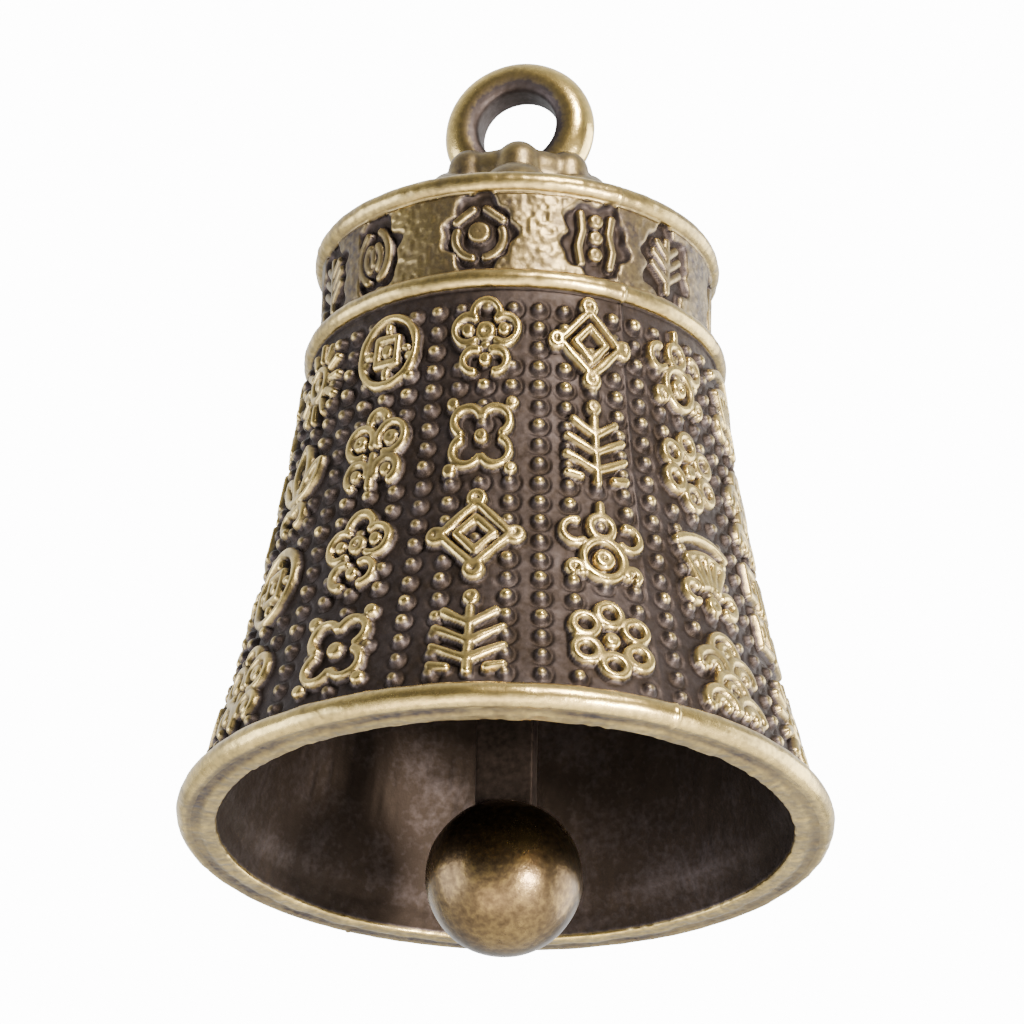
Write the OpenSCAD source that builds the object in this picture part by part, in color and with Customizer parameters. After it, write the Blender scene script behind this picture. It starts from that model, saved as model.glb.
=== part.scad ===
// Small cast temple bell with a ring to hang it by and a ball clapper.
// Every height below is counted up from the lip face. The finished part is then lowered, so that
// its origin is the centre of the hanging hole, with the hole along Y and the bell below it.

/* [Shell] */
// Outside diameter of the lip
mouth_d = 28; // [22:0.5:40]
// Height of the waist, from the lip face to the middle of the lower bead
waist_h = 22; // [16:0.5:34]
// Diameter of the plain ground at the top of the waist
shoulder_d = 17.6; // [15:0.2:21]
// How far the waist curves in from a straight cone
flare_sag = 0.56; // [0:0.02:1.2]
// Wall thickness of the waist and band
wall = 1.1; // [0.7:0.05:1.6]
// Height of the rounded lip
lip_h = 1.2; // [0.8:0.1:2]
// How far the lip stands out past the foot of the waist
lip_proud = 1; // [0.6:0.1:1.6]
// Width of the lip face, from its inner edge to the outside
lip_w = 1.7; // [1.4:0.1:2.4]
// Radius of the two raised beads
bead_r = 0.48; // [0.3:0.02:0.7]
// Height of the band between the two beads
band_h = 4.85; // [3:0.05:7]
// Diameter of the plain ground of the band
band_d = 16.9; // [14:0.1:20]
// Height from the middle of the upper bead to the collar's seat
crown_rise = 1.55; // [1:0.05:3]
// Thickness of the crown at the collar's seat
crown_t = 1.4; // [1:0.1:2.4]

/* [Collar] */
// Number of petals round the collar
petals = 8; // [6:1:9]
// Radius at which the low petals lie
petal_ring_r = 3.9; // [3.5:0.1:5]
// Radius of one low petal
petal_r = 1.7; // [1.2:0.1:2]
// Radius at which the upright buds lie
bud_ring_r = 3; // [2.7:0.1:3.5]
// Radius of one upright bud
bud_r = 1; // [0.7:0.05:1.1]
// Height of the collar's flat seat for the loop
collar_h = 1.8; // [1.4:0.1:3]
// How far the middle of each bud is above the loop's seat
bud_rise = 0.5; // [0.2:0.05:0.6]
// Turn of the petals about the axis, in degrees
collar_turn = 12; // [0:1:45]

/* [Hanging loop] */
// Outside diameter of the loop
loop_d = 6.8; // [6:0.2:12]
// Diameter of the hanging hole
loop_hole_d = 3.5; // [3:0.1:4]
// Diameter of the loop's rounded section
loop_section_d = 1.95; // [1.6:0.05:2.4]
// Gap between the loop and the collar's seat, filled by the loop's foot
foot_h = 0.25; // [0.2:0.05:0.8]
// Diameter of the loop's foot
foot_d = 3.2; // [2.6:0.1:3.6]
// Diameter of the threaded shank
shank_d = 2; // [1.6:0.1:2.4]

/* [Fastening] */
// Outside diameter of the washer under the crown
washer_d = 5; // [4:0.2:8]
// Thickness of the washer
washer_t = 0.5; // [0.3:0.05:1]
// Width of the lock nut across its flats
nut_flats = 4; // [3.6:0.1:5.5]
// Thickness of the lock nut
nut_t = 1.2; // [1:0.1:2]
// Diameter of the hanger's round boss
boss_d = 3.8; // [3.4:0.1:5]
// Height of the hanger's round boss
boss_h = 2.2; // [2:0.1:4]
// Depth of the shank in the boss
shank_bite = 1.6; // [1.2:0.1:1.8]

/* [Clapper] */
// Diameter of the hole in the hanger's eye
eye_hole_d = 1.5; // [1.4:0.05:2]
// Thickness of the wire of the hanger's eye
eye_wire_d = 0.8; // [0.6:0.05:1]
// Outside diameter of the clapper ring
ring_d = 4.5; // [4.3:0.1:6]
// Thickness of the clapper ring's wire
ring_wire_d = 0.7; // [0.5:0.05:0.75]
// Width of the flat strap
strap_w = 2.5; // [2.2:0.05:3]
// Thickness of the flat strap
strap_t = 1; // [0.7:0.05:1.2]
// Diameter of the strap's hole
strap_hole_d = 1.4; // [1.3:0.05:1.6]
// Diameter of the ball
ball_d = 6.7; // [5:0.1:8]
// How far the middle of the ball hangs below the lip face
ball_drop = 2; // [1:0.1:4]
// Depth of the strap in the ball
ball_bite = 2.6; // [1.5:0.1:3.2]

/* [Fits] */
// Gap round a shank or a strap in its hole
fit_gap = 0.05; // [0.03:0.01:0.1]
// Space left under a hanging link at its lowest
hang_gap = 0.2; // [0.15:0.01:0.3]

/* [Hidden] */
$fn = 64;
eps = 0.01;

// Shell: radii and heights
mouth_r = mouth_d / 2;
mouth_in_r = mouth_r - lip_w;
foot_r = mouth_r - lip_proud;
shoulder_r = shoulder_d / 2;
band_r = band_d / 2;
top_bead_z = waist_h + band_h;
seat_z = top_bead_z + crown_rise;
ceiling_z = seat_z - crown_t;
seat_r = petal_ring_r + petal_r;
throat_round = 1.5;
shank_hole_r = shank_d / 2 + fit_gap;

// Collar and loop: heights of their seats and centres
loop_seat_z = seat_z + collar_h;
bud_z = loop_seat_z + bud_rise;
hang_z = loop_seat_z + foot_h + loop_d / 2;
loop_mean_r = (loop_d - loop_section_d) / 2;

// Fastening stack under the crown, from the ceiling down
washer_z = ceiling_z - washer_t;
nut_z = washer_z - nut_t;
boss_z = nut_z - boss_h;
shank_end_z = nut_z - shank_bite;

// Clapper: heights of the links
eye_mean_r = (eye_hole_d + eye_wire_d) / 2;
eye_z = boss_z - eye_hole_d / 2 - eye_wire_d / 2;
ring_mean_r = (ring_d - ring_wire_d) / 2;
ring_top_z = eye_z - eye_hole_d / 2 + ring_wire_d / 2 + hang_gap;
ring_low_z = ring_top_z - 2 * ring_mean_r;
strap_hole_z = ring_low_z - strap_hole_d / 2 + ring_wire_d / 2 + hang_gap;
ball_z = -ball_drop;
strap_end_z = ball_z + ball_d / 2 - ball_bite;

// Radius of the plain outer ground at height z of the waist: a cone that curves in by flare_sag
function waist_r(z) =
    let (t = (z - lip_h) / (waist_h - lip_h))
    foot_r + (shoulder_r - foot_r) * t - 4 * flare_sag * t * (1 - t);

// Points of the waist's curve, moved in by the given amount, from height z0 up to z1
function waist_line(inset, z0, z1, steps) =
    [for (i = [0 : steps]) let (z = z0 + (z1 - z0) * i / steps) [waist_r(z) - inset, z]];

// Points of a quarter circle about a centre, between two angles
function quarter(centre, r, a0, a1, steps) =
    [for (i = [0 : steps]) let (a = a0 + (a1 - a0) * i / steps) centre + r * [cos(a), sin(a)]];

function reversed(list) = [for (i = [len(list) - 1 : -1 : 0]) list[i]];

// Crown line from the band up to the collar's seat
crown_line = [
    [band_r, top_bead_z],
    [band_r - 0.3 * (band_r - seat_r), top_bead_z + 0.5 * crown_rise],
    [band_r - 0.65 * (band_r - seat_r), top_bead_z + 0.85 * crown_rise],
    [seat_r, seat_z],
];

// Inside of the shell, from the mouth up to the shank hole
inner_line = concat(
    [[mouth_in_r, 0]],
    waist_line(wall, lip_h + 0.5, waist_h, 12),
    [[band_r - wall, waist_h + 0.8]],
    quarter([band_r - wall - throat_round, ceiling_z - throat_round], throat_round, 0, 90, 6),
    [[shank_hole_r, ceiling_z]]
);

outer_line = concat(
    [[mouth_r - lip_h / 2, 0], [mouth_r - lip_h / 2, lip_h]],
    waist_line(0, lip_h, waist_h, 12),
    [[band_r, waist_h + bead_r / 2]],
    crown_line,
    [[shank_hole_r, seat_z]]
);

// Lowers a piece so that the hanging hole's centre is the origin
module hung() {
    translate([0, 0, -hang_z]) children();
}

// Straight round bar standing on height z
module bar(d, z, h) {
    translate([0, 0, z]) cylinder(d = d, h = h);
}

// Round wire bent to a ring in the X-Z plane, about a centre at height z
module wire_ring(mean_r, wire_d, z) {
    translate([0, 0, z]) rotate([90, 0, 0])
        rotate_extrude() translate([mean_r, 0]) circle(d = wire_d);
}

// Places its children once for each petal
module each_petal() {
    for (i = [0 : petals - 1]) rotate([0, 0, collar_turn + i * 360 / petals]) children();
}

// Cast shell: rounded lip, curved waist, two beads with a band between them, and a low crown
module bell_body() {
    color("#8f7a55") hung() rotate_extrude($fn = 128) {
        polygon(concat(outer_line, reversed(inner_line)));
        translate([mouth_r - lip_h / 2, lip_h / 2]) circle(d = lip_h);
        translate([shoulder_r, waist_h]) circle(r = bead_r);
        translate([band_r, top_bead_z]) circle(r = bead_r);
    }
}

// Upright round post with a domed top, standing on height z; a post of no height is a plain dome
module domed_post(r, z, post_h) {
    translate([0, 0, z]) rotate_extrude() {
        if (post_h > 0) square([r, post_h]);
        translate([0, post_h]) intersection() {
            circle(r = r);
            square(r);
        }
    }
}

// Cast collar: a ring of low petals with an upright bud on each, and a groove that keys the loop
module lotus_collar() {
    color("#9c8661") hung() difference() {
        union() {
            bar(2 * bud_ring_r, seat_z, collar_h);
            each_petal() {
                translate([0, -petal_ring_r, 0]) domed_post(petal_r, seat_z, 0);
                translate([0, -bud_ring_r, 0]) domed_post(bud_r, seat_z, bud_z - seat_z);
            }
        }
        bar(foot_d + 4 * fit_gap, loop_seat_z, 2 * bud_r + bud_rise);
        wire_ring(loop_mean_r, loop_section_d + 4 * fit_gap, hang_z);
        bar(2 * shank_hole_r, seat_z - eps, collar_h + 2 * eps);
    }
}

// Cast loop: a round-backed ring with a true hole, on a foot and a threaded shank
module hanging_loop() {
    color("#a89470") hung() {
        translate([0, 0, hang_z]) rotate([90, 0, 0]) rotate_extrude() difference() {
            translate([loop_mean_r, 0]) circle(d = loop_section_d);
            translate([0, -loop_section_d]) square([loop_hole_d / 2, 2 * loop_section_d]);
        }
        bar(foot_d, loop_seat_z, foot_h + loop_section_d / 2);
        bar(shank_d, shank_end_z, loop_seat_z - shank_end_z + foot_h);
    }
}

module crown_washer() {
    color("#6b5a3e") hung() difference() {
        bar(washer_d, washer_z, washer_t);
        bar(2 * shank_hole_r, washer_z - eps, washer_t + 2 * eps);
    }
}

module lock_nut() {
    color("#6b5a3e") hung() difference() {
        translate([0, 0, nut_z]) cylinder(d = nut_flats / cos(30), h = nut_t, $fn = 6);
        bar(shank_d, nut_z - eps, nut_t + 2 * eps);
    }
}

// Eye nut inside the bell: a round boss that screws on the shank, with a wire eye below it
module clapper_hanger() {
    color("#5d4e37") hung() {
        difference() {
            bar(boss_d, boss_z, boss_h);
            bar(shank_d, shank_end_z, boss_h);
        }
        wire_ring(eye_mean_r, eye_wire_d, eye_z);
    }
}

// Jump ring that lies in the Y-Z plane, through the hanger's eye and the strap's hole
module clapper_ring() {
    color("#5d4e37") hung()
        translate([0, 0, ring_top_z - ring_mean_r]) rotate([0, 90, 0])
            rotate_extrude() translate([ring_mean_r, 0]) circle(d = ring_wire_d);
}

// Flat strap with a rounded, drilled top end; its square foot goes into the ball
module clapper_strap() {
    color("#46392a") hung() difference() {
        union() {
            translate([-strap_w / 2, -strap_t / 2, strap_end_z])
                cube([strap_w, strap_t, strap_hole_z - strap_end_z]);
            translate([0, strap_t / 2, strap_hole_z]) rotate([90, 0, 0]) cylinder(d = strap_w, h = strap_t);
        }
        translate([0, strap_t, strap_hole_z]) rotate([90, 0, 0]) cylinder(d = strap_hole_d, h = 2 * strap_t);
    }
}

// Ball with a slot in its top for the strap
module clapper_ball() {
    slot_w = strap_w + 2 * fit_gap;
    slot_t = strap_t + 2 * fit_gap;
    color("#7d6a48") hung() difference() {
        translate([0, 0, ball_z]) sphere(d = ball_d);
        translate([-slot_w / 2, -slot_t / 2, strap_end_z]) cube([slot_w, slot_t, ball_d]);
    }
}

bell_body();
lotus_collar();
hanging_loop();
crown_washer();
lock_nut();
clapper_hanger();
clapper_ring();
clapper_strap();
clapper_ball();
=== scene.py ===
import math

import bmesh
import bpy
import numpy as np
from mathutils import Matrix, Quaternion, Vector


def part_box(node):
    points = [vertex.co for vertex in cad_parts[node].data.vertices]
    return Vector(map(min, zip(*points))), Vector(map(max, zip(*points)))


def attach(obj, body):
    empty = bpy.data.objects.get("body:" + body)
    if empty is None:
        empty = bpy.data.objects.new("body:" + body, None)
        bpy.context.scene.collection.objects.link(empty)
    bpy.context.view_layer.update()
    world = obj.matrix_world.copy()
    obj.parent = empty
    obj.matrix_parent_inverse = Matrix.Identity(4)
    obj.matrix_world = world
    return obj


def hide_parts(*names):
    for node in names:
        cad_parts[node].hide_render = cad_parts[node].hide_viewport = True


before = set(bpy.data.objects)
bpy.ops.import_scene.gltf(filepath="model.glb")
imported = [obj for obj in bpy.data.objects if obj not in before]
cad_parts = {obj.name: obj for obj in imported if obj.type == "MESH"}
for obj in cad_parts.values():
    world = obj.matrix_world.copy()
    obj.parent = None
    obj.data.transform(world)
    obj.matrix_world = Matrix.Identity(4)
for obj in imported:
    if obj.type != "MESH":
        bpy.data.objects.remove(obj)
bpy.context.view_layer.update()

# ---------------------------------------------------------------------------------------------
# Shell. One brass casting, poured in a two-part mould: rounded lip, curved waist with a studded
# ground and raised ornaments, two beads with a band between them, and a low crown. It is browned
# in a bath and then tumbled, so that what stands proud is rubbed bright.
# ---------------------------------------------------------------------------------------------
# Lengths are in metres, and the bell's sizes are given in millimetres.
mm = 0.001

shell_low, shell_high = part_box("bell_body")
lip_z = shell_low.z
mouth_r = shell_high.x
seat_z = shell_high.z - lip_z

# Sizes of the casting, with heights measured up from the lip
WALL = 1.1 * mm
LIP_H = 1.2 * mm
LIP_W = 1.7 * mm
LIP_PROUD = 1.0 * mm
LIP_EDGE_R = 0.14 * mm
WAIST_H = 22.0 * mm
SHOULDER_R = 8.8 * mm
FLARE_SAG = 0.56 * mm
BEAD_R = 0.48 * mm
BAND_H = 4.85 * mm
BAND_R = 8.45 * mm
CROWN_T = 1.4 * mm
SEAT_R = 5.6 * mm
SHANK_HOLE_R = 1.05 * mm
THROAT_R = 1.5 * mm

foot_r = mouth_r - LIP_PROUD
top_bead_z = WAIST_H + BAND_H
ceiling_z = seat_z - CROWN_T

# The ornaments stand in columns round the waist, and one column nearly faces the viewer. Turns
# about the axis are counted from +X, so the front is at -90 degrees.
FRONT = -90.0
VIEW_TURN = math.radians(13.0)
COLUMNS = 13
TIERS = 4
FIRST_COLUMN = math.radians(FRONT - 7.8) + VIEW_TURN
FIRST_TIER_Z = 3.85 * mm
TIER_PITCH = 5.03 * mm
# An ornament has its drawn width at one radius, and grows wider towards the lip more slowly than
# the waist does. Each one is stretched a little taller than it is drawn.
ORNAMENT_R = 10.6 * mm
GROWTH = 0.7
STRETCH = 1.12
STROKE_R = 0.235 * mm
STROKE_H = 0.4 * mm
# Studs stand in columns too, four to each column of ornaments, each in the mark of its punch.
STUDS_ROUND = 4 * COLUMNS
STUD_ROWS = 24
STUD_PITCH = 0.98 * mm
STUD_R = 0.315 * mm
STUD_H = 0.32 * mm
STUD_CLEARANCE = 0.2 * mm
PUNCH_R = 0.47 * mm
PUNCH_W = 0.07 * mm
PUNCH_DEPTH = 0.09 * mm
# How bright the tumbling rubs the crest of a stroke and of a stud, from 0 to 1, and how much of
# that counts beside what shows on the ground
STROKE_RUB = 0.72
STUD_RUB = 0.62
RELIEF_RUB = 0.85
# Corners of the mesh in each ring round the shell
AROUND = 72 * COLUMNS


def line(x0, y0, x1, y1):
    """Straight stroke of an ornament, in millimetres from the middle of its cell."""
    return ("line", x0, y0, x1, y1)


def arc(cx, cy, r, a0=0, a1=360):
    """Round stroke about a centre, between two angles in degrees; a whole ring by default."""
    return ("arc", cx, cy, r, a0, a1)


def both_sides(strokes):
    """The strokes and their mirror image in the cell's upright middle line."""
    flipped = []
    for kind, *v in strokes:
        if kind == "line":
            flipped.append(line(-v[0], v[1], -v[2], v[3]))
        else:
            flipped.append(arc(-v[0], v[1], v[2], 180 - v[4], 180 - v[3]))
    return strokes + flipped


def four_ways(strokes):
    """The strokes mirrored left to right and top to bottom."""
    flipped = []
    for kind, *v in both_sides(strokes):
        if kind == "line":
            flipped.append(line(v[0], -v[1], v[2], -v[3]))
        else:
            flipped.append(arc(v[0], -v[1], v[2], -v[4], -v[3]))
    return both_sides(strokes) + flipped


def petals_round(count, ring, r):
    """Small rings set evenly on a circle."""
    turns = [2 * math.pi * i / count for i in range(count)]
    return [arc(ring * math.sin(t), ring * math.cos(t), r) for t in turns]


def rays_round(count, r0, r1):
    """Short strokes that point out from the middle."""
    turns = [2 * math.pi * i / count for i in range(count)]
    aims = [(math.sin(t), math.cos(t)) for t in turns]
    return [line(r0 * across, r0 * up, r1 * across, r1 * up) for across, up in aims]


def ribs(foot_y, r0, r1):
    """Five ribs of a fan, 15 degrees apart, between two circles about its foot."""
    aims = [(math.cos(k * math.pi / 12), math.sin(k * math.pi / 12)) for k in range(4, 9)]
    return [line(r0 * across, foot_y + r0 * up, r1 * across, foot_y + r1 * up) for across, up in aims]


ORNAMENTS = {
    "knot": four_ways([line(0, 1.45, 1.45, 0), line(0, 0.75, 0.75, 0), line(0.36, 1.1, 1.1, 0.36)])
    + [arc(0, 1.62, 0.26), arc(0, -1.62, 0.26), arc(1.6, 0, 0.24), arc(-1.6, 0, 0.24)],
    "coin": [arc(0, 0, 1.5), arc(0, 0, 0.12)]
    + four_ways([line(0.55, 0, 0.55, 0.55), line(0, 0.55, 0.55, 0.55)])
    + rays_round(4, 0.95, 1.1),
    "flower": petals_round(6, 1.16, 0.46) + [arc(0, 0, 0.16)],
    "cloud": both_sides([arc(0.8, 0.5, 0.68, -110, 200), arc(0.8, 0.5, 0.18)])
    + both_sides([arc(0.75, -0.95, 0.55, -60, 190), arc(0.78, -0.95, 0.1)])
    + [arc(0, 1.35, 0.45, 10, 170), line(0, -0.2, 0, -1.6)],
    "fret": four_ways([line(0.28, 0.3, 0.28, 1.7), line(0.28, 1.7, 1.5, 1.7), line(1.5, 1.7, 1.5, 0.5)])
    + four_ways([line(1.5, 0.5, 0.85, 0.5), line(0.85, 0.5, 0.85, 1.1)]),
    "lotus": both_sides([arc(-0.9, 0.55, 1.46, -52, 52), arc(0.2, 0.8, 1.42, -98, -5)])
    + both_sides([arc(1.6, -0.35, 1.03, 90, 150), arc(0.5, -1.45, 0.4, -90, 120)])
    + [arc(0, -1.1, 0.12)],
    "waves": [
        arc(x, y, r, 0, 180)
        for x, y in ((-0.8, -1.6), (0.8, -1.6), (0, -0.75), (-0.8, 0.1), (0.8, 0.1), (0, 0.95))
        for r in (0.74, 0.3)
    ],
    "sprig": both_sides([line(0, -1.25, 1.3, -0.65), line(0, -0.45, 1.25, 0.2), line(0, 0.35, 0.95, 0.95)])
    + both_sides([line(0.75, -1.6, 1.3, -1.5)])
    + [line(0, -1.75, 0, 1.1), arc(0, 1.6, 0.16)],
    "gourd": both_sides([arc(1.15, 0.35, 0.5, -130, 100), arc(1.2, -1.35, 0.25, -60, 200)])
    + [arc(0, -0.8, 0.85), arc(0, 0.62, 0.5), line(0, 1.15, 0, 1.65), arc(0, -0.8, 0.25)],
    "fan": [arc(0, -1.5, 3.0, 60, 120), arc(0, -1.5, 2.2, 60, 120), arc(0, -1.45, 0.2)]
    + ribs(-1.5, 0.9, 2.2)
    + both_sides([arc(1.05, -1.1, 0.42, -120, 130)]),
    "scroll": both_sides([arc(0.85, 0.35, 0.62, -120, 120), arc(0.5, -1.05, 0.5, -90, 110)])
    + both_sides([arc(0.85, 0.35, 0.1)])
    + [arc(0, 1.05, 0.62, 0, 180), arc(0, 0.25, 0.25), arc(0, -1.0, 0.1)],
    "sun": rays_round(12, 1.05, 1.62) + [arc(0, 0, 0.66), arc(0, 0, 0.14)],
    "quatrefoil": four_ways([arc(0.62, 0.68, 0.62, -60, 150), arc(1.3, 1.5, 0.1)]) + [arc(0, 0, 0.14)],
}
# Each ornament is 3 further down this list than the one on its left, and 5 further than the one
# below it, so that no two alike are neighbours.
ORDER = [
    "fan", "coin", "sprig", "fret", "scroll", "flower", "lotus", "knot", "waves", "cloud", "gourd", "sun",
    "quatrefoil",
]
NEXT_COLUMN, NEXT_TIER, FIRST_ORNAMENT = 3, 5, 2
# Farther than any point is from the strokes of its own cell, in millimetres
FAR = 9.0


def stroke_gap(x, y, stroke):
    """Distance from points to the middle line of one stroke."""
    kind, *v = stroke
    if kind == "line":
        dx, dy = v[2] - v[0], v[3] - v[1]
        t = np.clip(((x - v[0]) * dx + (y - v[1]) * dy) / (dx * dx + dy * dy), 0, 1)
        return np.hypot(x - v[0] - t * dx, y - v[1] - t * dy)
    cx, cy, r, a0, a1 = v
    if a1 - a0 >= 360:
        return np.abs(np.hypot(x - cx, y - cy) - r)
    mid, half = math.radians((a0 + a1) / 2), math.radians((a1 - a0) / 2)
    away = (np.arctan2(y - cy, x - cx) - mid + math.pi) % (2 * math.pi) - math.pi
    tips = [(cx + r * math.cos(a), cy + r * math.sin(a)) for a in (mid - half, mid + half)]
    to_tips = [np.hypot(x - tip_x, y - tip_y) for tip_x, tip_y in tips]
    return np.where(np.abs(away) <= half, np.abs(np.hypot(x - cx, y - cy) - r), np.minimum(*to_tips))


def nearest_stroke(x, y, strokes):
    """Distance from points to the nearest stroke."""
    gap = np.full(np.shape(x), FAR)
    for stroke in strokes:
        gap = np.minimum(gap, stroke_gap(x, y, stroke))
    return gap


def ornament_gap(which, x, y):
    """Distance from points to the nearest stroke of the ornament in their own cell."""
    gap = np.full(np.shape(x), FAR)
    for number, name in enumerate(ORDER):
        at = which == number
        gap[at] = nearest_stroke(x[at], y[at] / STRETCH, ORNAMENTS[name])
    return gap


def waist_r(z):
    """Radius of the plain ground of the waist: a cone that curves in."""
    t = (z - LIP_H) / (WAIST_H - LIP_H)
    return foot_r + (SHOULDER_R - foot_r) * t - 4 * FLARE_SAG * t * (1 - t)


def quarter(cx, cz, r, a0, a1, steps):
    """Points of a round stretch of the outline, between two angles in degrees."""
    a = np.radians(np.linspace(a0, a1, steps))
    return np.column_stack([cx + r * np.cos(a), cz + r * np.sin(a)])


def straight(r0, z0, r1, z1, steps):
    """Points of a straight stretch of the outline."""
    return np.column_stack([np.linspace(r0, r1, steps), np.linspace(z0, z1, steps)])


def patches(u, v, span, patch, seed):
    """Smooth random field from 0 to 1 over u and v in 0 to 1, with no join in u. The width and
    height that u and v span, and those of one patch, are in the same unit: millimetres or studs."""
    nu, nv = (round(whole / part) for whole, part in zip(span, patch))
    table = np.random.default_rng(seed).random((nu, nv + 2))
    x, y = (u % 1.0) * nu, np.clip(v, 0, 1) * nv
    i, j = np.floor(x).astype(int) % nu, np.minimum(np.floor(y).astype(int), nv)
    fx, fy = x - np.floor(x), y - j
    fx, fy = fx * fx * (3 - 2 * fx), fy * fy * (3 - 2 * fy)
    low = table[i, j] * (1 - fx) + table[(i + 1) % nu, j] * fx
    high = table[i, j + 1] * (1 - fx) + table[(i + 1) % nu, j + 1] * fx
    return low * (1 - fy) + high * fy


waist_span = (2 * math.pi * mouth_r / mm, WAIST_H / mm)


def waist_relief(turn, z):
    """Height of the waist's studs and ornaments above the ground, and how much each is rubbed."""
    radius = waist_r(z)
    pitch = 2 * math.pi / COLUMNS
    column = np.round((turn - FIRST_COLUMN) / pitch).astype(int)
    tier = np.clip(np.round((z - FIRST_TIER_Z) / TIER_PITCH), 0, TIERS - 1).astype(int)
    which = (NEXT_COLUMN * (column % COLUMNS) + NEXT_TIER * tier + FIRST_ORNAMENT) % len(ORDER)
    scale = mm * (radius / ORNAMENT_R) ** GROWTH
    x = (turn - FIRST_COLUMN - column * pitch) * radius / scale
    y = (z - FIRST_TIER_Z - tier * TIER_PITCH) / mm
    # The strokes were cut by hand in the pattern, so that none has one width from end to end.
    uneven = patches(turn / (2 * math.pi), z / WAIST_H, waist_span, (0.88, 0.79), 6)
    cut_r = STROKE_R * (0.8 + 0.4 * uneven)
    stroke = np.sqrt(np.clip(1 - (ornament_gap(which, x, y) * mm / cut_r) ** 3, 0, 1)) * STROKE_H

    stud_turn = 2 * math.pi / STUDS_ROUND
    stud_column = np.round((turn - FIRST_COLUMN) / stud_turn)
    stud_row = np.round((z - FIRST_TIER_Z) / STUD_PITCH)
    across = (turn - FIRST_COLUMN - stud_column * stud_turn) * radius
    up = z - FIRST_TIER_Z - stud_row * STUD_PITCH
    from_stud = np.hypot(across, up)
    # No two studs have quite the same size: each has a patch of the field to itself.
    own = patches(stud_column / STUDS_ROUND, stud_row / STUD_ROWS, (STUDS_ROUND, STUD_ROWS), (1, 1), 5)
    dome = np.sqrt(np.clip(1 - (from_stud / (STUD_R * (0.9 + 0.2 * own))) ** 2, 0, 1))
    # A stud is left out where a stroke covers its middle, or where the lip or the bead does.
    stud_x = (stud_column * stud_turn - column * pitch) * radius / scale
    stud_y = (stud_row * STUD_PITCH - tier * TIER_PITCH) / mm
    stud_z = stud_row * STUD_PITCH + FIRST_TIER_Z
    kept = ornament_gap(which, stud_x, stud_y) * mm > STUD_CLEARANCE
    kept &= (stud_z > LIP_H + STUD_R / 2) & (stud_z < WAIST_H - BEAD_R - STUD_R / 2)
    stud = np.where(kept, dome * STUD_H * (0.85 + 0.3 * own), 0)
    # Each punch mark round a stud is deepest on its lower right.
    lean = 0.5 + 0.5 * np.cos(np.arctan2(up, across) + 0.8)
    mark = np.exp(-(((from_stud - PUNCH_R) / PUNCH_W) ** 2)) * lean
    raised = np.maximum(stroke, stud)
    height = np.where(raised > 0, raised, np.where(kept, -PUNCH_DEPTH * mark, 0))
    rubbed = np.where(stroke >= stud, STROKE_RUB * stroke / STROKE_H, STUD_RUB * (stud / STUD_H) ** 4)
    return height, rubbed


# Sunk panels stand round the band, each of them a little off its even place, in degrees.
PANEL_SHIFTS = [-3.5, 1, -2.7, 4, -3, 5, -4, 3, -5, 4, -2.2, -9]
PANEL_SINK = 0.34 * mm
PANEL_HALF_W = 1.45
PANEL_HALF_H = 1.85
PANEL_RIM = 0.035
HAMMER_DEPTH = 0.08 * mm
# The figures that the panels hold in turn, in millimetres from the middle of the panel
FIGURE_STROKE_R = 0.24
FIGURES = [
    both_sides([arc(0.05, -0.2, 1.0, -75, 20), line(0.3, 1.15, 1.0, 0.62)])
    + [arc(0, 0.05, 0.14), arc(0, 0.05, 0.3)],
    both_sides([line(0.72, 1.2, 0.62, 0.4), line(0.62, 0.4, 0.8, -0.4), line(0.8, -0.4, 0.66, -1.15)])
    + [arc(0, 0.95, 0.15), arc(0, 0.15, 0.15), arc(0, -0.65, 0.15)],
    both_sides([line(0, -0.75, 0.85, -0.1), line(0, -0.15, 0.8, 0.5), line(0, 0.45, 0.6, 1.0)])
    + [line(0, -1.2, 0, 1.2)],
    both_sides([arc(-0.62, 0, 1.5, -48, 48), arc(-0.35, -0.05, 0.8, -42, 42)])
    + [line(0, -0.35, 0, 0.25)],
]
# The random fields on the band cover a little more than its height.
band_span = (2 * math.pi * BAND_R / mm, 5.0)


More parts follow.
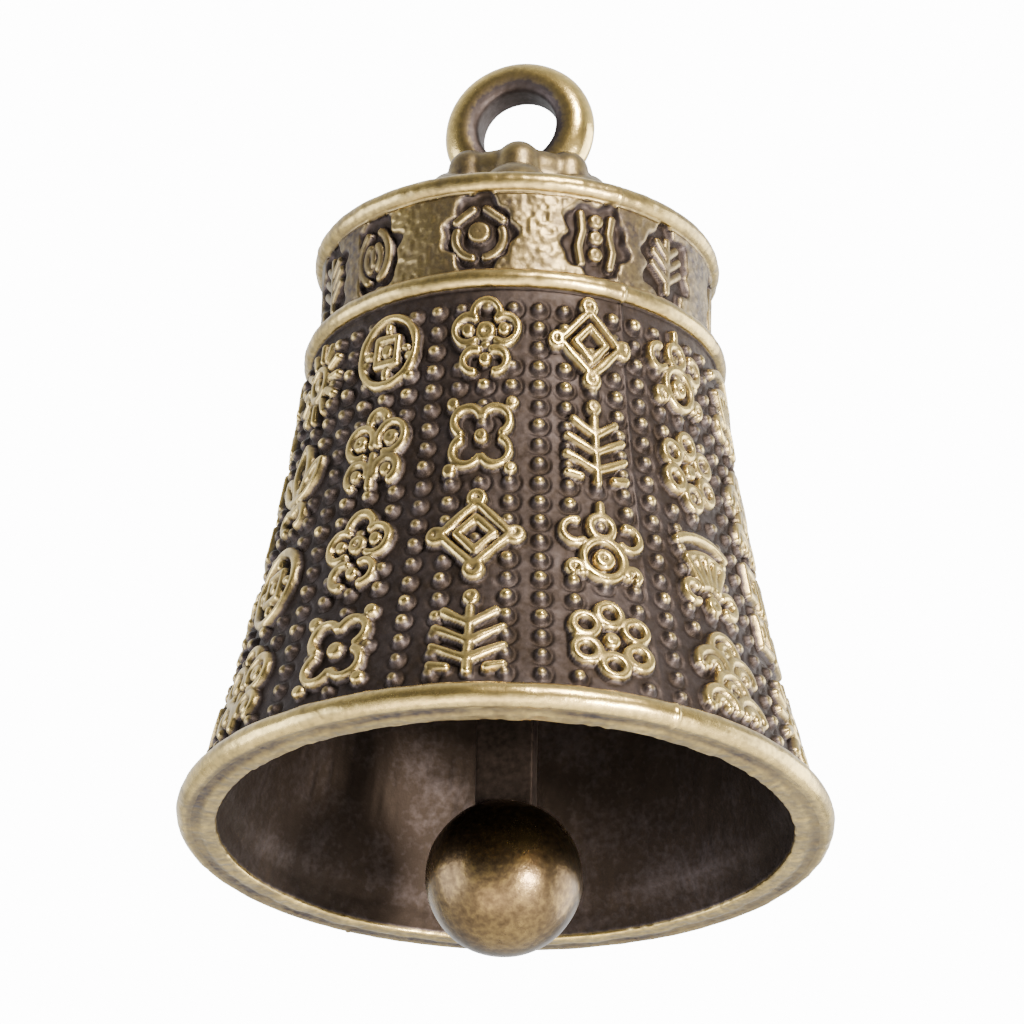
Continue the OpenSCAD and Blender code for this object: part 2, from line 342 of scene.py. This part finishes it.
def band_relief(turn, z):
    """Height of the band between the beads: a worn plateau with sunk panels, a figure in each."""
    pitch = 2 * math.pi / len(PANEL_SHIFTS)
    from_first = turn - FIRST_COLUMN
    unit = np.round(from_first / pitch).astype(int) % len(PANEL_SHIFTS)
    shift = np.radians(np.array(PANEL_SHIFTS, dtype=float))[unit]
    x = ((from_first - unit * pitch - shift + math.pi) % (2 * math.pi) - math.pi) * BAND_R / mm
    y = (z - (WAIST_H + top_bead_z) / 2) / mm
    # A panel is an oval with a wavy edge, and its neighbours have other waves.
    a = np.arctan2(y, x)
    edge = 1.0 + 0.09 * np.cos((4 + unit % 3) * a + unit) + 0.07 * np.cos(9 * a + 2 * unit)
    panel = np.hypot(x / PANEL_HALF_W, y / PANEL_HALF_H) / edge
    plateau = 1 / (1 + np.exp(-(panel - 1) / PANEL_RIM))
    gap = np.full(turn.shape, FAR)
    for number, strokes in enumerate(FIGURES):
        at = unit % len(FIGURES) == number
        gap[at] = nearest_stroke(x[at], y[at], strokes)
    figure = np.sqrt(np.clip(1 - (gap / FIGURE_STROKE_R) ** 3, 0, 1)) * (panel < 0.98)
    # Hammer marks 0.2 mm wide show where the plateau is worn, in stretches of about 3 mm.
    hammered = patches(turn / (2 * math.pi), y / band_span[1] + 0.5, band_span, (0.204, 0.21), 15)
    wear = patches(turn / (2 * math.pi) + 0.02, np.full(y.shape, 0.5), band_span, (3.1, 5.0), 16)
    height = PANEL_SINK * (np.maximum(plateau, 0.95 * figure) - 0.5)
    height += HAMMER_DEPTH * plateau * wear * (hammered - 0.5)
    return height, np.maximum(plateau * (0.1 + 0.55 * wear), 0.5 * figure)


# The outline of the whole shell, from the shank hole down the inside, round the lip and up the
# outside: radius and height of each row of the mesh, and the kind of surface that it lies on.
inner_z = np.linspace(WAIST_H, LIP_H + 0.5 * mm, 40)
inner_r = BAND_R - WALL
throat_r, throat_z = inner_r - THROAT_R, ceiling_z - THROAT_R
face_in = mouth_r - LIP_W
bead_in = mouth_r - LIP_H / 2
waist_z = np.linspace(LIP_H + 0.06 * mm, WAIST_H - 0.45 * mm, 296)
band_z = np.linspace(WAIST_H + 0.5 * mm, top_bead_z - 0.5 * mm, 54)
crown_t = np.linspace(0.12, 1, 22)
crown_r = BAND_R - (BAND_R - SEAT_R) * crown_t
crown_z = top_bead_z + (seat_z - top_bead_z) * np.sin(crown_t * math.pi / 2)
stretches = [
    ("hole", straight(SHANK_HOLE_R, seat_z, SHANK_HOLE_R, ceiling_z, 4)),
    ("inside", straight(SHANK_HOLE_R + 0.4 * mm, ceiling_z, throat_r - 0.3 * mm, ceiling_z, 8)),
    ("inside", quarter(throat_r, throat_z, THROAT_R, 90, 0, 9)),
    ("inside", straight(inner_r, throat_z - 0.6 * mm, inner_r, WAIST_H + 0.8 * mm, 5)),
    ("inside", np.column_stack([waist_r(inner_z) - WALL, inner_z])),
    ("inside", straight(face_in - 0.28 * mm, LIP_H, face_in - 0.05 * mm, 0.3 * mm, 5)),
    ("face", quarter(face_in + 0.12 * mm, LIP_EDGE_R, LIP_EDGE_R, 180, 270, 6)),
    ("face", straight(face_in + 0.2 * mm, 0, bead_in - 0.05 * mm, 0, 16)),
    ("lip", quarter(bead_in, LIP_H / 2, LIP_H / 2, -90, 100, 30)),
    ("waist", np.column_stack([waist_r(waist_z), waist_z])),
    ("bead", quarter(SHOULDER_R, WAIST_H, BEAD_R, -66, 72, 17)),
    ("band", np.column_stack([np.full(band_z.shape, BAND_R), band_z])),
    ("bead", quarter(BAND_R, top_bead_z, BEAD_R, -72, 66, 17)),
    ("crown", np.column_stack([crown_r, crown_z])),
]
# Brass that shows on each kind of surface before its own relief and edges are counted
RUBBED = {
    "hole": 0.0, "inside": 0.0, "face": 0.64, "lip": 0.72, "waist": 0.12, "bead": 0.66, "band": 0.1,
    "crown": 0.45,
}
outline = np.vstack([stretch for kind, stretch in stretches])
kinds = np.concatenate([np.full(len(stretch), kind, dtype=object) for kind, stretch in stretches])
outline_r, outline_z = outline[:, :1], outline[:, 1:]
# The way out of the surface at each row of the mesh
along = np.gradient(outline, axis=0)
along /= np.hypot(*along.T)[:, None]
out_r, out_z = along[:, 1:], -along[:, :1]
steps = np.hypot(*np.diff(np.vstack([outline, outline[:1]]), axis=0).T)
shell_span = (2 * math.pi * mouth_r / mm, steps.sum() / mm)

# Every corner of the mesh: its turn about the axis, its height, and both as shares of the whole
turn, height_z = np.meshgrid(np.arange(AROUND) * 2 * math.pi / AROUND, outline[:, 1])
share_round = turn / (2 * math.pi)
share_along = np.repeat((np.cumsum(steps) / steps.sum())[:, None], AROUND, axis=1)
relief = np.zeros(turn.shape)
rubbed = np.repeat(np.array([[RUBBED[kind]] for kind in kinds]), AROUND, axis=1)
for kind, shape in (("waist", waist_relief), ("band", band_relief)):
    at = kinds == kind
    relief[at], shown = shape(turn[at], height_z[at])
    rubbed[at] += RELIEF_RUB * shown


def cast_skin(broad, fine, seeds):
    """Swells and dips of two sizes, which a mould leaves on a casting, from -1 to 1."""
    return (
        patches(share_round, share_along, shell_span, broad, seeds[0])
        + patches(share_round, share_along, shell_span, fine, seeds[1])
        - 1
    )


# The inside was never dressed or tumbled, so its skin is rougher than the outside's.
OUTSIDE_DENT = 0.03 * mm
INSIDE_DENT = 0.06 * mm
outside = np.isin(kinds, ("lip", "waist", "bead", "band", "crown"))[:, None]
relief += outside * OUTSIDE_DENT * cast_skin((1.47, 1.23), (0.518, 0.49), (11, 12))
inside = np.isin(kinds, ("inside", "face"))[:, None]
relief += inside * INSIDE_DENT * cast_skin((0.98, 0.92), (0.382, 0.369), (13, 18))
# A shallow channel with soft sides parts the rounded lip from its flat face, and keeps the brown.
CHANNEL_R = mouth_r - 0.72 * mm
CHANNEL_HALF_W = 0.31 * mm
CHANNEL_SIDE = 0.045 * mm
CHANNEL_DEPTH = 0.08 * mm
off_channel = np.abs(outline_r - CHANNEL_R) - CHANNEL_HALF_W
channel = (outline_z < 0.3 * mm) / (1 + np.exp(off_channel / CHANNEL_SIDE))
relief -= CHANNEL_DEPTH * channel
browned = np.minimum(1, 1.5 * patches(share_round, share_along, shell_span, (2.2, 1.84), 17))
rubbed -= 0.3 * channel * browned
# The mould's two halves leave a thin fin down both sides, worn away in places.
SEAM_TURN = math.radians(FRONT + 30.0) + VIEW_TURN
FIN_H = 0.1 * mm
FIN_HALF_W = 0.07 * mm
left = patches(share_round, share_along, shell_span, (12.6, 1.05), 14)
for side in (0, math.pi):
    from_seam = ((turn - SEAM_TURN - side + math.pi) % (2 * math.pi) - math.pi) * outline_r
    relief += outside * FIN_H * np.exp(-((from_seam / FIN_HALF_W) ** 2)) * left
radius = outline_r + relief * out_r
height = lip_z + outline_z + relief * out_z
corners = np.stack([radius * np.cos(turn), radius * np.sin(turn), height], axis=-1)


def new_piece(name, corners, faces):
    """A smooth-shaded mesh object, with its origin at the frame's origin."""
    mesh = bpy.data.meshes.new(name)
    mesh.from_pydata(corners, [], faces)
    mesh.update()
    piece = bpy.data.objects.new(name, mesh)
    bpy.context.collection.objects.link(piece)
    mesh.shade_smooth()
    return piece


def mark_rubbed(piece, level, gain, rounds):
    """Stores how much bright metal shows at each corner: its level, and more or less of it by how
    far the corner stands proud of its surroundings, which rounds of smoothing find."""
    mesh = piece.data
    count = len(mesh.vertices)
    place, facing = np.empty(count * 3), np.empty(count * 3)
    mesh.vertices.foreach_get("co", place)
    mesh.vertices.foreach_get("normal", facing)
    ends = np.empty(len(mesh.edges) * 2, dtype=np.int64)
    mesh.edges.foreach_get("vertices", ends)
    one, other = ends.reshape(-1, 2).T
    place = place.reshape(-1, 3)
    neighbours = np.bincount(one, minlength=count) + np.bincount(other, minlength=count)
    smooth = place.copy()
    for _ in range(rounds):
        summed = [
            np.bincount(one, axis[other], count) + np.bincount(other, axis[one], count)
            for axis in smooth.T
        ]
        smooth = 0.5 * smooth + 0.5 * np.column_stack(summed) / neighbours[:, None]
    proud = np.einsum("ij,ij->i", place - smooth, facing.reshape(-1, 3)) / mm
    layer = mesh.attributes.new("rub", "FLOAT", "POINT")
    layer.data.foreach_set("value", np.clip(level + gain * proud, 0, 1).astype(np.float32))


rows = len(outline)
i, j = np.meshgrid(np.arange(rows), np.arange(AROUND), indexing="ij")
i2, j2 = (i + 1) % rows, (j + 1) % AROUND
quads = np.stack([i * AROUND + j, i * AROUND + j2, i2 * AROUND + j2, i2 * AROUND + j], axis=-1)
shell = new_piece("bell_shell", corners.reshape(-1, 3), quads.reshape(-1, 4).tolist())
mark_rubbed(shell, level=rubbed.ravel(), gain=1.4, rounds=12)

# The map laid over the shell gives the ornamented outside more room than the inside.
room = steps * np.where(np.isin(kinds, ("hole", "inside")), 0.4, 1.0)
up = np.concatenate([[0], np.cumsum(room)]) / room.sum()
layer = shell.data.uv_layers.new(name="OFBake")
corner_u = np.stack([j, j + 1, j + 1, j], axis=-1) / AROUND
corner_v = np.stack([up[i], up[i], up[i + 1], up[i + 1]], axis=-1)
layer.data.foreach_set("uv", np.stack([corner_u, corner_v], axis=-1).ravel().astype(np.float32))
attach(shell, "bell")
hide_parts("bell_body")


def linear(hex_colour):
    """Linear colour of an sRGB hex value, with full alpha."""
    values = [int(hex_colour[k : k + 2], 16) / 255 for k in (1, 3, 5)]
    return tuple(v / 12.92 if v <= 0.04045 else ((v + 0.055) / 1.055) ** 2.4 for v in values) + (1.0,)


def add(tree, kind, sockets=None, **settings):
    """Adds a node, sets its settings, and links or sets its sockets by name or number."""
    made = tree.nodes.new(kind)
    for name, value in settings.items():
        setattr(made, name, value)
    for name, value in (sockets or {}).items():
        if isinstance(value, bpy.types.NodeSocket):
            tree.links.new(value, made.inputs[name])
        else:
            made.inputs[name].default_value = value
    return made


def empty_material(name):
    """A material, and its node tree with nothing in it."""
    material = bpy.data.materials.new(name)
    material.use_nodes = True
    material.node_tree.nodes.clear()
    return material, material.node_tree


# Widths in the finish: the patches that the tumbling wears, the browning's grains, a mould's pits
WORN_PATCH = 2.2 * mm
BROWN_GRAIN = 0.28 * mm
MOULD_PIT = 0.1 * mm
PIT_DEPTH = 0.03 * mm


def browned_brass(name, hollow, ground, rubbed_tone, bright, satin=0.58, gloss=0.11, wear=0.38):
    """Brass that was browned in a bath and tumbled. The brown stays in the hollows, and brass shows
    on what stands proud, where it is glossy too. Patches and grains break up the line between them,
    and the skin is finely pitted."""
    material, tree = empty_material(name)
    place = add(tree, "ShaderNodeTexCoord").outputs["Object"]
    rub = add(tree, "ShaderNodeAttribute", attribute_name="rub").outputs["Fac"]
    patch = add(tree, "ShaderNodeTexNoise", {"Vector": place, "Scale": 1 / WORN_PATCH, "Detail": 3.0})
    grain = add(tree, "ShaderNodeTexNoise", {"Vector": place, "Scale": 1 / BROWN_GRAIN, "Detail": 4.0})
    pits = add(tree, "ShaderNodeTexNoise", {"Vector": place, "Scale": 1 / MOULD_PIT, "Detail": 2.0})
    patch, grain, pits = patch.outputs[0], grain.outputs[0], pits.outputs[0]
    uneven = add(tree, "ShaderNodeMath", {0: patch, 1: grain}, operation="ADD").outputs[0]
    shift = add(tree, "ShaderNodeMath", {0: uneven, 1: wear, 2: -wear}, operation="MULTIPLY_ADD").outputs[0]
    shown = add(tree, "ShaderNodeMath", {0: rub, 1: shift}, operation="ADD", use_clamp=True).outputs[0]
    tone = add(tree, "ShaderNodeValToRGB", {"Fac": shown})
    ramp = tone.color_ramp
    ramp.elements.remove(ramp.elements[1])
    for amount, colour in ((0.0, hollow), (0.3, ground), (0.62, rubbed_tone), (1.0, bright)):
        stop = ramp.elements[0] if amount == 0 else ramp.elements.new(amount)
        stop.position, stop.color = amount, linear(colour)
    polish = add(tree, "ShaderNodeMapRange", {"Value": shown, "To Min": satin, "To Max": gloss}).outputs[0]
    rough = add(tree, "ShaderNodeMath", {0: grain, 1: 0.1, 2: polish}, operation="MULTIPLY_ADD").outputs[0]
    skin = add(tree, "ShaderNodeMath", {0: pits, 1: 0.5, 2: grain}, operation="MULTIPLY_ADD").outputs[0]
    bump = add(tree, "ShaderNodeBump", {"Height": skin, "Strength": 0.35, "Distance": PIT_DEPTH})
    finish = {"Base Color": tone.outputs[0], "Metallic": 1.0, "Roughness": rough, "Normal": bump.outputs[0]}
    metal = add(tree, "ShaderNodeBsdfPrincipled", finish)
    add(tree, "ShaderNodeOutputMaterial", {"Surface": metal.outputs[0]})
    return material


# Cast brass: a grey-brown ground, dull olive slopes, and pale gold with sharp lights on the crests
aged_cast_brass = browned_brass("aged_cast_brass", "#2a231e", "#413a39", "#8a784f", "#f4d480")
shell.data.materials.append(aged_cast_brass)


# ---------------------------------------------------------------------------------------------
# Collar and loop. Two more castings in the same brass: a collar of fleshy petals that sits on
# the crown, and the ring that the bell hangs by, which stands in the collar's groove. The ring's
# threaded shank goes down through collar and crown and holds them together.
# ---------------------------------------------------------------------------------------------
RIPPLE = 0.7 * mm
FILLET_STEPS = 96
FILLET_SIDES = 24


def soft_casting(name, node, voxel, rounds, dents, seed, fillets=()):
    """A piece with a CAD node's shape. Rounds of smoothing melt its edges, and ripples dent its skin.
    Each fillet is a ring of metal about the axis: its height, mean radius, half width and half
    height."""
    mesh = bpy.data.meshes.new(name)
    build = bmesh.new()
    build.from_mesh(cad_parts[node].data)
    for z, mean_r, half_w, half_h in fillets:
        t = (np.arange(FILLET_STEPS) * 2 * math.pi / FILLET_STEPS)[:, None]
        a = np.arange(FILLET_SIDES) * 2 * math.pi / FILLET_SIDES
        r = mean_r + half_w * np.cos(a)
        ring = np.broadcast_arrays(r * np.cos(t), r * np.sin(t), z + half_h * np.sin(a))
        knots = [[build.verts.new(p) for p in row] for row in np.stack(ring, axis=-1)]
        for i in range(FILLET_STEPS):
            for j in range(FILLET_SIDES):
                i2, j2 = (i + 1) % FILLET_STEPS, (j + 1) % FILLET_SIDES
                build.faces.new((knots[i][j], knots[i2][j], knots[i2][j2], knots[i][j2]))
    build.to_mesh(mesh)
    build.free()
    piece = bpy.data.objects.new(name, mesh)
    bpy.context.collection.objects.link(piece)
    weld = piece.modifiers.new("weld", "WELD")
    weld.merge_threshold = 0.0005 * mm
    skin = piece.modifiers.new("skin", "REMESH")
    skin.mode, skin.voxel_size = "VOXEL", voxel
    melt = piece.modifiers.new("melt", "SMOOTH")
    melt.factor, melt.iterations = 0.5, rounds
    bpy.context.view_layer.update()
    made = bpy.data.meshes.new_from_object(piece.evaluated_get(bpy.context.evaluated_depsgraph_get()))
    piece.modifiers.clear()
    piece.data = made
    made.name = name
    place, facing = np.empty(len(made.vertices) * 3), np.empty(len(made.vertices) * 3)
    made.vertices.foreach_get("co", place)
    made.vertices.foreach_get("normal", facing)
    place, facing = place.reshape(-1, 3), facing.reshape(-1, 3)
    waves = 9
    wave = np.random.default_rng(seed).normal(size=(3, waves)) / RIPPLE
    wobble = np.sin(place @ wave + np.arange(waves)).sum(axis=1) / waves
    made.vertices.foreach_set("co", (place + facing * (dents * wobble)[:, None]).ravel())
    made.update()
    made.shade_smooth()
    return piece


collar_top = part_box("lotus_collar")[1].z
# The metal fills the gaps between the buds up to a saddle.
saddle = (collar_top - 1.15 * mm, 3.0 * mm, 0.62 * mm, 0.85 * mm)
collar = soft_casting(
    "petal_collar", "lotus_collar", voxel=0.07 * mm, rounds=34, dents=0.05 * mm, seed=21, fillets=[saddle]
)
mark_rubbed(collar, level=0.46, gain=3.2, rounds=24)
loop = soft_casting("cast_loop", "hanging_loop", voxel=0.06 * mm, rounds=60, dents=0.03 * mm, seed=22)
# Tumbling chips reach all round the loop but hardly into its hole; the brown there is also painted shade.
HOLE_R = 1.75 * mm
HOLE_SHADE_W = 0.7 * mm
spots = np.empty(len(loop.data.vertices) * 3)
loop.data.vertices.foreach_get("co", spots)
from_hole = np.hypot(spots[0::3], spots[2::3]) - HOLE_R
# Painted shade: less bright metal in a band round the loop's hole, partly real wear
rub_with_hole_shade = 0.86 - 0.72 * np.exp(-((from_hole / HOLE_SHADE_W) ** 2))
mark_rubbed(loop, level=rub_with_hole_shade, gain=2.2, rounds=20)
for piece, node in ((collar, "lotus_collar"), (loop, "hanging_loop")):
    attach(piece, "bell")
    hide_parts(node)
    piece.data.materials.append(aged_cast_brass)


# ---------------------------------------------------------------------------------------------
# Fastening inside the crown: a punched washer, a hexagon lock nut and the round boss with a
# wire eye that the clapper hangs from, all brass left dark from the browning bath.
# ---------------------------------------------------------------------------------------------
# Brass as it leaves the bath: dark brown satin, with a little dull brass on the corners
dark_browned_brass = browned_brass(
    "dark_browned_brass", "#1b1411", "#3a2d24", "#6b5738", "#b59a68", gloss=0.34
)
FASTENING = {"thin_washer": "crown_washer", "hex_lock_nut": "lock_nut", "eye_hanger": "clapper_hanger"}
for name, node in FASTENING.items():
    piece = soft_casting(name, node, voxel=0.045 * mm, rounds=3, dents=0.01 * mm, seed=31)
    mark_rubbed(piece, level=0.3, gain=5.0, rounds=12)
    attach(piece, "bell")
    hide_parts(node)
    piece.data.materials.append(dark_browned_brass)


# ---------------------------------------------------------------------------------------------
# Clapper: a jump ring of 0.7 mm brass wire, a flat strap sheared from brass strip with a drilled
# end, and a brass ball that the strap's foot is pressed into.
# ---------------------------------------------------------------------------------------------
link = soft_casting("jump_ring", "clapper_ring", voxel=0.045 * mm, rounds=3, dents=0.005 * mm, seed=41)
mark_rubbed(link, level=0.3, gain=5.0, rounds=12)
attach(link, "link")
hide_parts("clapper_ring")
link.data.materials.append(dark_browned_brass)

strap = soft_casting("flat_strap", "clapper_strap", voxel=0.06 * mm, rounds=3, dents=0.012 * mm, seed=42)
mark_rubbed(strap, level=0.12, gain=1.0, rounds=12)
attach(strap, "clapper")
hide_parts("clapper_strap")
# Sheared strip, blackened: an even, nearly black satin with a little brown along its edges
blackened_strip_brass = browned_brass(
    "blackened_strip_brass", "#231d19", "#443a34", "#6b5a48", "#a38b62", gloss=0.4
)
strap.data.materials.append(blackened_strip_brass)

ball = soft_casting(
    "clapper_ball_cast", "clapper_ball", voxel=0.07 * mm, rounds=10, dents=0.03 * mm, seed=43
)
mark_rubbed(ball, level=0.31, gain=1.0, rounds=30)
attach(ball, "clapper")
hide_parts("clapper_ball")
# Tumbled ball: dull gold under broad brown stains, smooth enough for one soft round light
tumbled_ball_brass = browned_brass(
    "tumbled_ball_brass", "#271f18", "#594933", "#8b7447", "#dcc490", satin=0.3, gloss=0.1, wear=0.6
)
ball.data.materials.append(tumbled_ball_brass)


# ---------------------------------------------------------------------------------------------
# Studio: the bell hangs over a plain pale floor, lit by soft lamps, the strongest on the right. It
# is seen from below its mouth with a long lens, so the camera stands lower than the lip.
# ---------------------------------------------------------------------------------------------
FLOOR_Z = -250 * mm
FLOOR_SIDE = 6000 * mm
half = FLOOR_SIDE / 2
floor_plan = ((-half, -half), (half, -half), (half, half), (-half, half))
floor = new_piece("floor", [(x, y, FLOOR_Z) for x, y in floor_plan], [(0, 1, 2, 3)])
# Pale matt paint: an even light grey with no shine, and with clouds so faint that they hardly show
PAINT_CLOUD = 2000 * mm
paint, tree = empty_material("pale_matt_paint")
mottle = add(tree, "ShaderNodeTexNoise", {"Scale": FLOOR_SIDE / PAINT_CLOUD, "Detail": 2.0}).outputs[0]
shade = add(tree, "ShaderNodeMapRange", {"Value": mottle, "To Min": 0.84, "To Max": 0.9}).outputs[0]
matt = add(tree, "ShaderNodeBsdfPrincipled", {"Base Color": shade, "Roughness": 0.9})
add(tree, "ShaderNodeOutputMaterial", {"Surface": matt.outputs[0]})
floor.data.materials.append(paint)

# The paper behind the bell goes from the floor's own tone to white, so no horizon line shows.
world = bpy.data.worlds.new("studio")
bpy.context.scene.world = world
world.use_nodes = True
tree = world.node_tree
tree.nodes.clear()
seen = add(tree, "ShaderNodeLightPath").outputs["Is Camera Ray"]
outward = add(tree, "ShaderNodeTexCoord").outputs["Generated"]
outward_z = add(tree, "ShaderNodeSeparateXYZ", {0: outward}).outputs["Z"]
sweep = {"Value": outward_z, "From Min": 0.0, "From Max": 0.25, "To Min": 0.9, "To Max": 14.0}
glow = add(tree, "ShaderNodeMapRange", sweep, interpolation_type="SMOOTHSTEP").outputs[0]
backdrop = add(tree, "ShaderNodeBackground", {"Color": linear("#ffffff"), "Strength": glow}).outputs[0]
# The far half of the room lights the bell more than the near half does.
behind = (-math.sin(VIEW_TURN), math.cos(VIEW_TURN), 0.3)
facing = add(tree, "ShaderNodeVectorMath", {0: outward, 1: behind}, operation="DOT_PRODUCT")
room_light = {
    "Value": facing.outputs["Value"], "From Min": -0.5, "From Max": 0.9, "To Min": 0.15, "To Max": 1.9,
}
strength = add(tree, "ShaderNodeMapRange", room_light).outputs[0]
fill = add(tree, "ShaderNodeBackground", {"Color": linear("#eef0f2"), "Strength": strength}).outputs[0]
mixed = add(tree, "ShaderNodeMixShader", {0: seen, 1: fill, 2: backdrop}).outputs[0]
add(tree, "ShaderNodeOutputWorld", {"Surface": mixed})

VIEW_RISE = math.radians(25.1)
VIEW_DISTANCE = 0.2872
VIEW_ROLL = math.radians(1.23)
AIM_Z = lip_z + 15.15 * mm
LENS, SENSOR = 232.3, 36.0
middle = Vector((0, 0, AIM_Z))


def direction(turn_right, rise):
    """Unit vector away from the bell, by its angles from the front of the view and the level."""
    a = VIEW_TURN + turn_right
    return Vector((math.sin(a) * math.cos(rise), -math.cos(a) * math.cos(rise), math.sin(rise)))


toward_viewer = direction(0, -VIEW_RISE)
camera = bpy.data.objects.new("camera", bpy.data.cameras.new("camera"))
bpy.context.collection.objects.link(camera)
camera.data.lens, camera.data.sensor_width = LENS, SENSOR
camera.data.clip_start, camera.data.clip_end = 0.01, 20.0
camera.location = middle + toward_viewer * VIEW_DISTANCE
camera.rotation_mode = "QUATERNION"
level = (-toward_viewer).to_track_quat("-Z", "Y")
camera.rotation_quaternion = level @ Quaternion((0, 0, 1), VIEW_ROLL)
bpy.context.scene.camera = camera


def lamp(name, turn_right, rise, distance, size, power, colour):
    """Square soft lamp aimed at the bell, placed by its angles in degrees from the view's front."""
    made = bpy.data.objects.new(name, bpy.data.lights.new(name, "AREA"))
    bpy.context.collection.objects.link(made)
    away = direction(math.radians(turn_right), math.radians(rise))
    made.location = middle + away * distance
    made.rotation_mode = "QUATERNION"
    made.rotation_quaternion = (-away).to_track_quat("-Z", "Y")
    made.data.size, made.data.energy, made.data.color = size, power, linear(colour)[:3]


# The key and the front lamp are small and near, for the sharp lights on loop, beads and studs. The
# rim and side lamps are broad, for the pale edges, and the bounce lights the mouth from below.
lamp("key", 38, -20, 0.42, 0.06, 6.4, "#fff8ee")
lamp("front", 24, 36, 0.5, 0.1, 5.8, "#fff6e8")
lamp("rim", 108, 2, 0.5, 0.45, 4.8, "#ffffff")
lamp("side", -84, -8, 0.6, 0.45, 5.0, "#f2f5ff")
lamp("bounce", -24, -62, 0.25, 0.2, 0.5, "#fff3e2")
